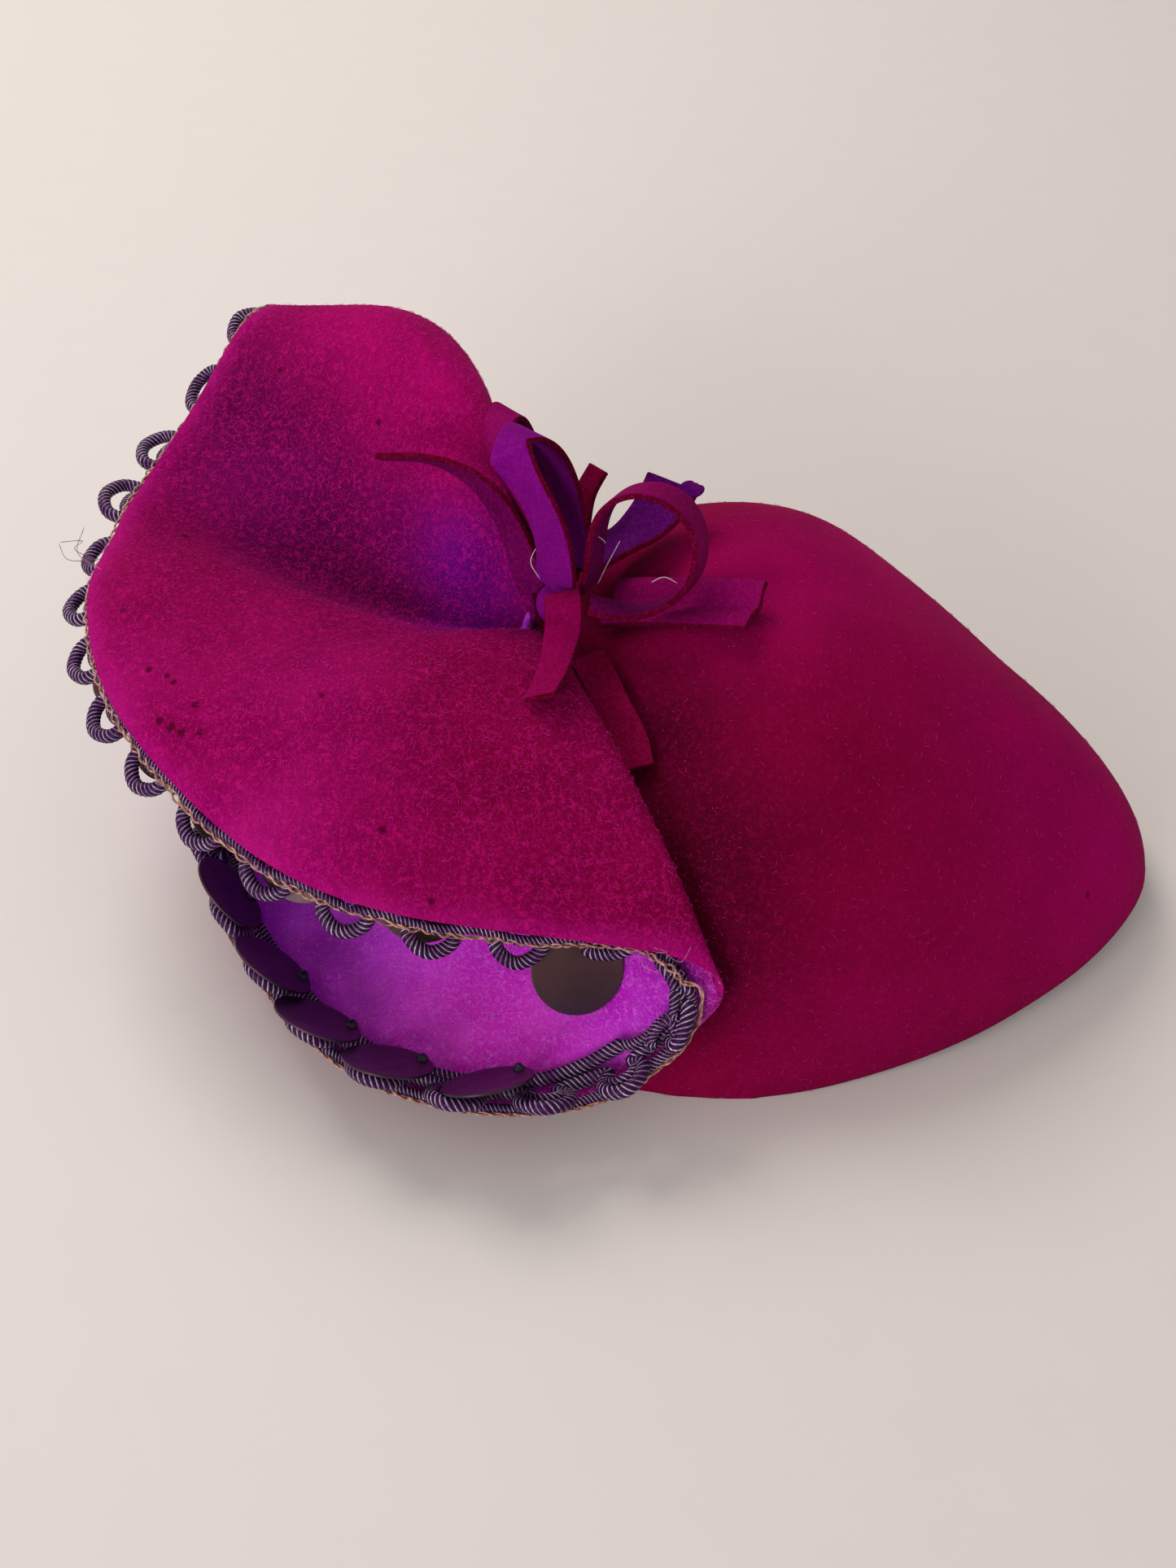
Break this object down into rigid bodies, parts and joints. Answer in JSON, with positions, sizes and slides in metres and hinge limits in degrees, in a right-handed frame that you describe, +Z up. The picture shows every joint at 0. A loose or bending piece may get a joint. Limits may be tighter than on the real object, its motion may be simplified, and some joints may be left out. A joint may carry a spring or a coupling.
{
  "type": "percher hat",
  "caption": "Felt percher hat: teardrop crown, gathered brim flared into a trumpet, loop gimp and round paillettes along its edge, felt bow over the gathers.",
  "frame": {"origin": "middle of the bounding box, at the height of the table it lies on", "axes": "+Z up; +X towards the pointed tail of the crown, -X towards the open mouth of the brim; +Y away from the viewer of the picture"},
  "size_m": [0.2598, 0.2098, 0.1129],
  "materials": {
    "felt": "brushed",
    "violet_felt": "brushed",
    "cord_silk": "satin",
    "paillette_film": "matte"
  },
  "bodies": {
    "root": {"bow_knot": "violet_felt", "bow_loop_back": "felt", "bow_loop_tall": "felt", "bow_ring": "felt", "bow_tail_back": "felt", "bow_tail_front": "felt", "bow_tail_left": "felt", "bow_tail_right": "felt", "bow_tail_scalloped": "felt", "brim": "felt", "crown": "felt", "gimp_header": "cord_silk", "gimp_loops": "cord_silk", "neck_band": "felt", "paillette_01": "paillette_film", "paillette_02": "paillette_film", "paillette_03": "paillette_film", "paillette_04": "paillette_film", "paillette_05": "paillette_film", "paillette_06": "paillette_film", "paillette_07": "paillette_film", "paillette_08": "paillette_film", "paillette_09": "paillette_film", "paillette_10": "paillette_film", "paillette_11": "paillette_film", "paillette_12": "paillette_film", "paillette_13": "paillette_film", "paillette_14": "paillette_film", "paillette_15": "paillette_film", "paillette_16": "paillette_film", "paillette_17": "paillette_film", "paillette_18": "paillette_film", "paillette_19": "paillette_film", "paillette_20": "paillette_film", "paillette_21": "paillette_film"}
  },
  "joints": []
}
